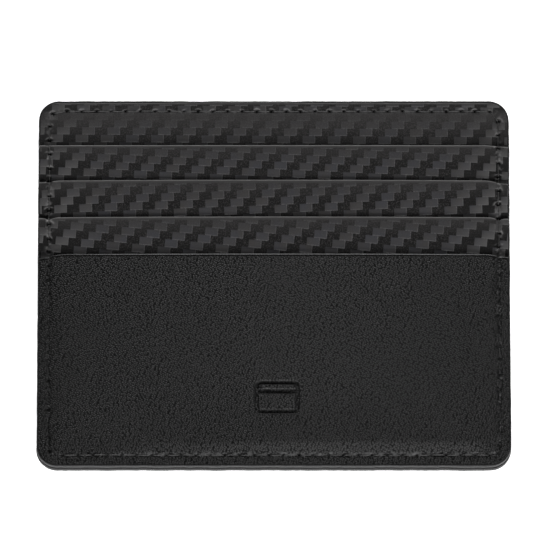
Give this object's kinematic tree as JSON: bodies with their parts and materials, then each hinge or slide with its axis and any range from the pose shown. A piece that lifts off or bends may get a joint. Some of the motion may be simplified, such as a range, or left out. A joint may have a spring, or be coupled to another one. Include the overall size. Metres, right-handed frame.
{
  "type": "minimalist card wallet",
  "caption": "Slim flat card wallet in black leather: woven-look card slots stacked above a smooth front pocket, a note pocket open at the top, and a stitched, painted rim.",
  "frame": {"origin": "middle of the back face, the face the wallet lies on", "axes": "+X along the slots, from the left end to the right; +Y towards the slot mouths; +Z out of the front face"},
  "size_m": [0.1, 0.08, 0.0055],
  "materials": {
    "smooth_leather": "black full-grain leather, satin",
    "woven_leather": "black leather embossed with a twill weave, satin gloss",
    "lining_cloth": "black woven lining",
    "shield_foil": "plain foil laminate",
    "leather_board": "pressed leather board, raw",
    "edge_paint": "dark grey acrylic edge paint, satin",
    "sewing_thread": "black waxed polyester thread"
  },
  "bodies": {
    "root": {"back_panel": "smooth_leather", "back_shield": "shield_foil", "core_board": "leather_board", "back_lining": "lining_cloth", "note_tape_left": "leather_board", "note_tape_right": "leather_board", "note_tape_bottom": "leather_board", "slot_backing": "lining_cloth", "top_panel": "woven_leather", "slot_strip_1": "woven_leather", "slot_strip_2": "woven_leather", "slot_strip_3": "woven_leather", "slot_lining_1": "lining_cloth", "slot_lining_2": "lining_cloth", "slot_lining_3": "lining_cloth", "slot_seam_1": "sewing_thread", "slot_seam_2": "sewing_thread", "slot_seam_3": "sewing_thread", "front_pocket": "smooth_leather", "pocket_shield": "shield_foil", "pocket_lining": "lining_cloth", "side_filler_left": "leather_board", "side_filler_right": "leather_board", "bottom_filler": "leather_board", "upper_thread": "sewing_thread", "lower_thread": "sewing_thread", "hem_thread_back": "sewing_thread", "hem_thread_front": "sewing_thread", "edge_coat_back": "edge_paint", "edge_coat_front": "edge_paint"}
  },
  "joints": []
}
